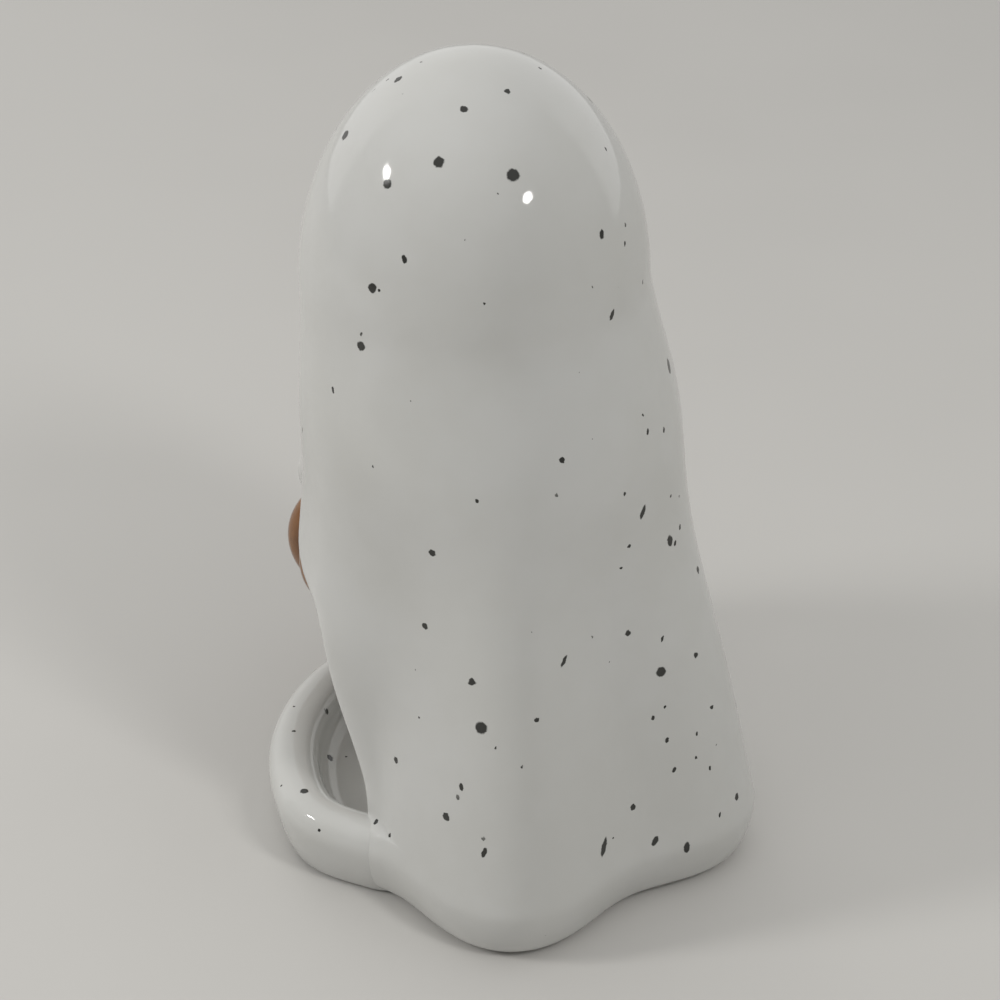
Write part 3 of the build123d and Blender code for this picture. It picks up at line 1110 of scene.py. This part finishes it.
@dataclass
class Sleeve:
    """Short draped arm that holds the pumpkin, with a soft flare where it joins the sheet.

    Its girths are radii, each at a share of its length.
    """

    form: SheetForm
    place: Place
    side: Side
    root_height: float = 71.0
    root_angle: float = 39.0
    root_sink: float = 7.5
    root_fold: float = 0.25
    girths: tuple[tuple[float, float], ...] = ((0.0, 0.0), (8.9, 0.0), (8.5, 0.18), (7.3, 0.42), (6.3, 0.72))
    tip_radius: float = 5.4
    grip: float = 10.5
    grip_forward: float = 5.0
    press: float = 1.0
    steps: int = 40

    def build(self, pumpkin: "Pumpkin") -> bmesh.types.BMesh:
        """Spins the sleeve's outline and lays it from the sheet to the pumpkin.

        Args:
            pumpkin: what the sleeve's tip rests on.

        Returns:
            The mesh.
        """
        sign = self.side.value
        sink = self.root_sink + self.form.fold_depth(self.root_height) * self.root_fold
        root = self.form.skin(self.root_angle, self.root_height, sink)
        across = math.hypot(self.grip, self.grip_forward) / pumpkin.radius
        rise = pumpkin.height / 2.0 * math.sqrt(1.0 - across * across) + self.tip_radius - self.press
        tip = Vector((self.grip, pumpkin.centre_y - self.grip_forward, pumpkin.centre_height + rise))
        root.x *= sign
        tip.x *= sign
        length = (tip - root).length
        outline = [(radius, share * length) for radius, share in self.girths]
        for turn in (0, 20, 40, 60, 75):
            angle = math.radians(turn)
            outline.append((self.tip_radius * math.cos(angle), length + self.tip_radius * math.sin(angle)))
        outline.append((0.0, length + self.tip_radius))
        bm = spun(outline, self.steps)
        lay = Matrix.Translation(root) @ (tip - root).to_track_quat("Z", "Y").to_matrix().to_4x4()
        bmesh.ops.transform(bm, matrix=lay, verts=bm.verts)
        for vert in bm.verts:
            vert.co = self.place.row(vert.co)
        return bm


@dataclass
class Pumpkin:
    """Squat ribbed pumpkin with a dimple for its stem."""

    place: Place
    radius: float = 19.5
    height: float = 29.0
    centre_y: float = -40.23
    centre_height: float = 38.0
    fullness: float = 0.8
    ribs: int = 10
    rib_depth: float = 1.3
    dimple_radius: float = 7.0
    dimple_depth: float = 3.0
    meridians: int = 120
    rings: int = 48

    def build(self) -> bmesh.types.BMesh:
        """Shapes a ball into the ribbed pumpkin."""
        bm = bmesh.new()
        crest = bm.verts.layers.float.new("rib_crest")
        bmesh.ops.create_uvsphere(bm, u_segments=self.meridians, v_segments=self.rings, radius=1.0)
        middle = Vector((0.0, self.centre_y, self.centre_height))
        for vert in bm.verts:
            rise = math.asin(min(max(vert.co.z, -1.0), 1.0))
            turn = math.atan2(vert.co.y, vert.co.x)
            wave = abs(math.cos(self.ribs * turn / 2.0)) * 2.0 - 1.0
            flat = max(math.cos(rise), 0.0)
            reach = (self.radius - self.rib_depth) * flat**self.fullness + self.rib_depth * flat * wave
            level = self.height / 2.0 * math.sin(rise)
            if rise > 0.0:
                level -= self.dimple_depth * (1.0 - smooth_share(reach, 0.0, self.dimple_radius))
            vert[crest] = (wave + 1.0) / 2.0 * flat**0.5
            vert.co = self.place.row(middle + Vector((reach * math.cos(turn), reach * math.sin(turn), level)))
        return bm


@dataclass
class PumpkinStem:
    """Ridged stem that leans forward from the pumpkin's dimple.

    Its worn end has rings past its length, each a share of the tip's radius.
    """

    pumpkin: Pumpkin
    radius: float = 3.0
    tip_radius: float = 2.0
    length: float = 8.0
    lean: float = 2.5
    socket: float = 2.0
    dimple_depth: float = 2.4
    ridges: int = 5
    ridge_depth: float = 0.13
    ridge_fade: float = 0.4
    twist: float = 0.5
    flare: float = 0.55
    worn_end: tuple[tuple[float, float], ...] = ((0.1, 0.72), (-0.25, 0.35))
    segments: int = 40
    rings: int = 8

    def build(self) -> bmesh.types.BMesh:
        """Extrudes a ring up the stem's bend and closes it with a worn end."""
        bm = bmesh.new()
        bmesh.ops.create_circle(bm, cap_ends=False, segments=self.segments, radius=1.0)
        loop = list(bm.edges)
        bottom = list(bm.verts)
        levels = [(-self.socket, self.radius, 0.0)]
        for i in range(self.rings + 1):
            share = i / self.rings
            radius = self.radius + (self.tip_radius - self.radius) * share
            levels.append((self.length * share, radius + self.flare * (1.0 - share) ** 3, share))
        levels += [(self.length + past, self.tip_radius * part, 1.0) for past, part in self.worn_end]
        base = self.pumpkin.centre_height + self.pumpkin.height / 2.0 - self.dimple_depth
        rings = [bottom]
        for _ in levels[1:]:
            made = bmesh.ops.extrude_edge_only(bm, edges=loop)["geom"]
            loop = [item for item in made if isinstance(item, bmesh.types.BMEdge)]
            loop = [edge for edge in loop if all(vert not in rings[-1] for vert in edge.verts)]
            rings.append([item for item in made if isinstance(item, bmesh.types.BMVert)])
        for ring, (level, radius, share) in zip(rings, levels):
            for vert in ring:
                turn = math.atan2(vert.co.y, vert.co.x)
                ridge = self.ridge_depth * math.cos(self.ridges * turn) * (1.0 - self.ridge_fade * share)
                reach = radius * (1.0 + ridge)
                twist = turn + self.twist * share
                y = self.pumpkin.centre_y + reach * math.sin(twist) - self.lean * share**2
                vert.co = self.pumpkin.place.row(Vector((reach * math.cos(twist), y, base + level)))
        bmesh.ops.contextual_create(bm, geom=loop)
        bmesh.ops.contextual_create(bm, geom=[edge for edge in bm.edges if edge.is_boundary])
        return bm


@dataclass
class Eye:
    """Domed oval of black glaze that follows the curve of the face."""

    form: SheetForm
    place: Place
    side: Side
    height: float = 116.0
    spacing: float = 19.0
    width: float = 7.0
    length: float = 10.5
    dome: float = 0.7
    dome_power: float = 2.5
    sink: float = 0.5
    rim: float = 0.985
    thin_start: float = 0.55
    ringed: float = 0.85
    segments: int = 40
    rings: int = 6

    def build(self) -> bmesh.types.BMesh:
        """Insets an oval into rings and lays each point on the face."""
        bm = bmesh.new()
        thin = bm.verts.layers.float.new("thin_glaze")
        bmesh.ops.create_circle(bm, cap_ends=True, segments=self.segments, radius=1.0)
        face = list(bm.faces)
        for _ in range(self.rings):
            bmesh.ops.inset_region(bm, faces=face, thickness=self.ringed / self.rings, use_boundary=True)
        bmesh.ops.poke(bm, faces=face)
        for vert in bm.verts:
            out = min(math.hypot(vert.co.x, vert.co.y), 1.0)
            across = self.side.value * self.spacing / 2.0 + vert.co.x * self.width / 2.0
            level = self.height + vert.co.y * self.length / 2.0
            angle = math.degrees(math.asin(across / self.form.reach(0.0, level)))
            lift = self.dome * math.sqrt(1.0 - out**self.dome_power) if out < self.rim else -self.sink
            vert[thin] = smooth_share(out, self.thin_start, 1.0)
            point = self.form.skin(angle, level) + self.form.normal(angle, level) * lift
            vert.co = self.place.row(point)
        return bm


@dataclass(frozen=True)
class Lamp:
    """Studio lamp: its direction from the figure, distance and width in metres, power in watts, and flatness.

    A soft lamp gives light and shadow, and the gloss of the glaze doesn't mirror it.
    """

    name: str
    azimuth: float
    elevation: float
    distance: float
    width: float
    power: float
    soft: bool = False
    flatness: float = 1.0
    tint: Colour = (1.0, 0.99, 0.97)
    aim_height: float = 0.09

    def make(self) -> None:
        """Adds the lamp to the scene, turned to the figure's middle."""
        way = direction(self.azimuth, self.elevation)
        data = bpy.data.lights.new(self.name, "AREA")
        data.shape = "ELLIPSE"
        data.size = self.width
        data.size_y = self.width * self.flatness
        data.energy = self.power
        data.color = self.tint
        lamp = bpy.data.objects.new(self.name, data)
        lamp.location = Vector((0.0, 0.0, self.aim_height)) + way * self.distance
        lamp.rotation_euler = way.to_track_quat("Z", "Y").to_euler()
        lamp.visible_glossy = not self.soft
        bpy.context.scene.collection.objects.link(lamp)


@dataclass
class Studio:
    """Pale floor, soft lamps and the even light of the room."""

    floor_colour: Colour = (0.545, 0.534, 0.514)
    floor_shade: float = 0.965
    tone_scale: float = 6.0
    tone_range: tuple[float, float] = (0.35, 0.65)
    floor_roughness: float = 0.62
    floor_shine: float = 0.25
    floor_half: float = 1.6
    floor_squares: int = 8
    ceiling: Colour = (0.72, 0.72, 0.71)
    backdrop: Colour = (0.82, 0.815, 0.80)
    room: Colour = (0.29, 0.29, 0.284)
    backdrop_azimuth: float = -37.0
    backdrop_edge: tuple[float, float] = (0.30, 0.44)
    ceiling_edge: tuple[float, float] = (0.30, 0.95)
    lamps: tuple[Lamp, ...] = (
        Lamp(
            "near_lamp", azimuth=64.5, elevation=32.3, distance=0.60, width=0.085, power=0.35, flatness=0.58
        ),
        Lamp(
            "far_lamp", azimuth=-170.6, elevation=34.0, distance=0.60, width=0.085, power=0.30, flatness=0.58
        ),
        Lamp(
            "near_soft_lamp", azimuth=66.0, elevation=23.0, distance=0.70, width=0.16, power=1.42, soft=True
        ),
        Lamp(
            "far_soft_lamp", azimuth=-174.0, elevation=46.0, distance=0.70, width=0.14, power=0.80, soft=True
        ),
        Lamp(
            "front_soft_lamp", azimuth=-10.0, elevation=22.0, distance=0.90, width=0.60, power=0.80, soft=True
        ),
    )

    def light_room(self) -> None:
        """Gives the world a pale ceiling, a pale side behind the figure and a darker room."""
        world = bpy.data.worlds.new("room")
        world.use_nodes = True
        bench = Bench(world.node_tree)
        way = bench.node("ShaderNodeTexCoord").outputs["Generated"]
        pale_side = direction(self.backdrop_azimuth)
        facing = bench.ramp(bench.measure("DOT_PRODUCT", way, pale_side), *self.backdrop_edge)
        lifted = bench.ramp(bench.measure("DOT_PRODUCT", way, (0.0, 0.0, 1.0)), *self.ceiling_edge)
        colour = bench.blend(lifted, bench.blend(facing, self.room, self.backdrop), self.ceiling)
        bench.feed(colour, world.node_tree.nodes["Background"].inputs["Color"])
        bpy.context.scene.world = world

    def make(self) -> None:
        """Adds the floor, the lamps and the world to the scene."""
        paint = Paint("floor_paper")
        bench = paint.bench
        tone = bench.ramp(bench.noise(paint.where, self.tone_scale, detail=3.0), *self.tone_range)
        darker = tuple(self.floor_shade * part for part in self.floor_colour)
        bench.feed(bench.blend(tone, self.floor_colour, darker), paint.shader.inputs["Base Color"])
        bench.feed(self.floor_roughness, paint.shader.inputs["Roughness"])
        bench.feed(self.floor_shine, paint.shader.inputs["Specular IOR Level"])
        bm = bmesh.new()
        squares = self.floor_squares
        bmesh.ops.create_grid(bm, x_segments=squares, y_segments=squares, size=self.floor_half)
        mesh = bpy.data.meshes.new("floor")
        bm.to_mesh(mesh)
        bm.free()
        mesh.materials.append(paint.material)
        floor = bpy.data.objects.new("floor", mesh)
        bpy.context.scene.collection.objects.link(floor)
        for lamp in self.lamps:
            lamp.make()
        self.light_room()
        bpy.context.scene.view_settings.view_transform = "Standard"


def seat_specks(
    specks: list[PlacedSpeck], camera: PhotoCamera, place: Place, meshes: list[bmesh.types.BMesh]
) -> list[SeatedSpeck]:
    """Finds where the placed specks lie on the glazed pieces.

    Args:
        specks: the specks by pixel.
        camera: the camera whose pixels they are.
        place: where the figure is.
        meshes: the glazed pieces.

    Returns:
        The specks that lie on a piece.
    """
    trees = [BVHTree.FromBMesh(mesh) for mesh in meshes]
    view = camera.stand(place).to_3x3()
    seated = []
    for speck in specks:
        start, way = camera.ray(place, (speck.x, speck.y))
        hits = [hit for hit in (tree.ray_cast(start, way) for tree in trees) if hit[0] is not None]
        if not hits:
            log.warning("speck at %d, %d lies on nothing", speck.x, speck.y)
            continue
        spot, normal, _, _ = min(hits, key=lambda hit: hit[3])
        turn = math.radians(speck.lean)
        upright = view @ Vector((math.sin(turn), math.cos(turn), 0.0))
        axis = (upright - normal * upright.dot(normal)).normalized()
        seated.append(SeatedSpeck(spot, axis, speck.width * MM / 2.0, speck.stretch))
    return seated


# Specks read from the photograph: pixel, width, and where they matter stretch and lean.
SPECK_ROWS = (
    (513, 175, 2.3, 1.1, 50.0), (439, 162, 2.0, 1.05), (387, 184, 1.7, 1.15),
    (345, 135, 1.9, 1.2, 25.0), (398, 79, 1.5, 1.3, 60.0), (464, 109, 1.3, 1.2, 40.0),
    (507, 91, 1.1, 1.1), (372, 288, 1.6, 1.3), (361, 346, 1.6, 1.4), (404, 259, 1.1, 1.5, -15.0),
    (333, 390, 0.9, 1.5), (602, 234, 1.2, 1.5, -10.0), (612, 315, 1.1, 2.0, 10.0),
    (669, 366, 2.0, 1.5, -20.0), (562, 460, 1.0, 1.2), (643, 512, 1.2, 2.4, 10.0),
    (670, 541, 1.6, 1.5, -30.0), (432, 553, 1.2, 1.4), (425, 626, 1.2, 1.4), (472, 682, 1.4, 1.3),
    (481, 728, 2.1, 1.4), (396, 760, 1.3, 1.3), (461, 787, 1.1, 1.5), (446, 817, 1.5, 1.4),
    (390, 835, 0.9, 1.1), (376, 822, 0.9, 1.6), (484, 853, 0.9, 2.6, 25.0), (564, 661, 0.9, 2.8, 28.0),
    (537, 720, 0.8, 1.4), (628, 633, 1.1, 1.3, -20.0), (661, 672, 1.8, 1.4, -28.0),
    (604, 847, 1.4, 2.8, 10.0), (655, 841, 1.3, 1.8, 22.0), (687, 848, 1.4, 2.0, -12.0),
    (633, 807, 1.3, 1.0), (737, 797, 1.1, 1.6, -10.0), (304, 791, 1.5, 1.2, 30.0),
    (330, 758, 1.5, 1.3, 90.0), (643, 415, 0.5), (648, 432, 0.8, 1.8, 6.0), (664, 430, 0.8, 1.5, 8.0),
    (625, 494, 0.7), (671, 496, 0.5, 1.4, 20.0), (680, 527, 0.8, 1.5, 8.0), (675, 543, 0.7, 1.7, 14.0),
    (629, 546, 0.7, 1.3, 20.0), (621, 568, 0.6), (698, 570, 1.2, 1.4, -14.0), (662, 639, 0.6, 2.2, 8.0),
    (696, 655, 1.0, 1.3, 16.0), (736, 703, 1.1, 1.7), (712, 707, 0.8), (665, 707, 0.5),
    (653, 718, 0.6, 2.0), (667, 740, 0.8, 1.6, 6.0), (697, 734, 0.6, 1.8, -8.0),
    (696, 758, 0.5), (710, 768, 0.6, 2.0, -18.0), (674, 770, 0.8, 1.6, 8.0), (720, 815, 0.6, 2.0),
    (613, 838, 0.5), (477, 501, 0.6), (379, 290, 0.5), (540, 68, 0.7), (606, 149, 0.6, 1.5),
    (625, 244, 0.7, 1.6), (643, 282, 0.6, 1.6), (605, 911, 0.6), (294, 706, 0.6),
    (294, 731, 0.7), (319, 830, 0.7), (346, 757, 0.5),
)


def main() -> None:
    """Builds the figure's pieces in order, dresses them and sets the studio."""
    logging.basicConfig(level=logging.INFO, format="%(name)s: %(message)s")
    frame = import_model()
    form, bay = SheetForm(), Bay()
    place = Place.of_dish(FrontDish.lip_radius)
    camera = PhotoCamera()
    camera.make(place)

    pumpkin = Pumpkin(place)
    sheet_mesh = GhostSheet(form, bay, place).build()
    dish_mesh = FrontDish(form, place).build()
    specks = seat_specks([PlacedSpeck(*row) for row in SPECK_ROWS], camera, place, [sheet_mesh, dish_mesh])
    glaze = WhiteGlaze().make(specks, camera.toward())
    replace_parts(finish_piece(sheet_mesh, "ghost_sheet", glaze), "ghost_shell")
    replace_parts(finish_piece(dish_mesh, "rolled_dish", glaze), "front_dish")
    black = BlackGlaze().make()
    for side in Side:
        name = side.name.lower()
        arm = Sleeve(form, place, side).build(pumpkin)
        sleeve = finish_piece(arm, f"{name}_draped_sleeve", glaze)
        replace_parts(sleeve, f"{name}_sleeve")
        eye = finish_piece(Eye(form, place, side).build(), f"{name}_glazed_eye", black)
        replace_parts(eye, f"{name}_eye")
    ball = finish_piece(pumpkin.build(), "ribbed_pumpkin", OrangeGlaze().make())
    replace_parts(ball, "pumpkin")
    stem = finish_piece(PumpkinStem(pumpkin).build(), "ridged_stem", BrownGlaze().make())
    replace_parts(stem, "pumpkin_stem")
    for node, finish in (("base_slab", BareClay().make()), ("foot_pads", PadRubber().make())):
        materials = frame["nodes"][node].data.materials
        materials.clear()
        materials.append(finish)
        log.info("dressed %s", node)

    Studio().make()


if __name__ == "__main__":
    main()
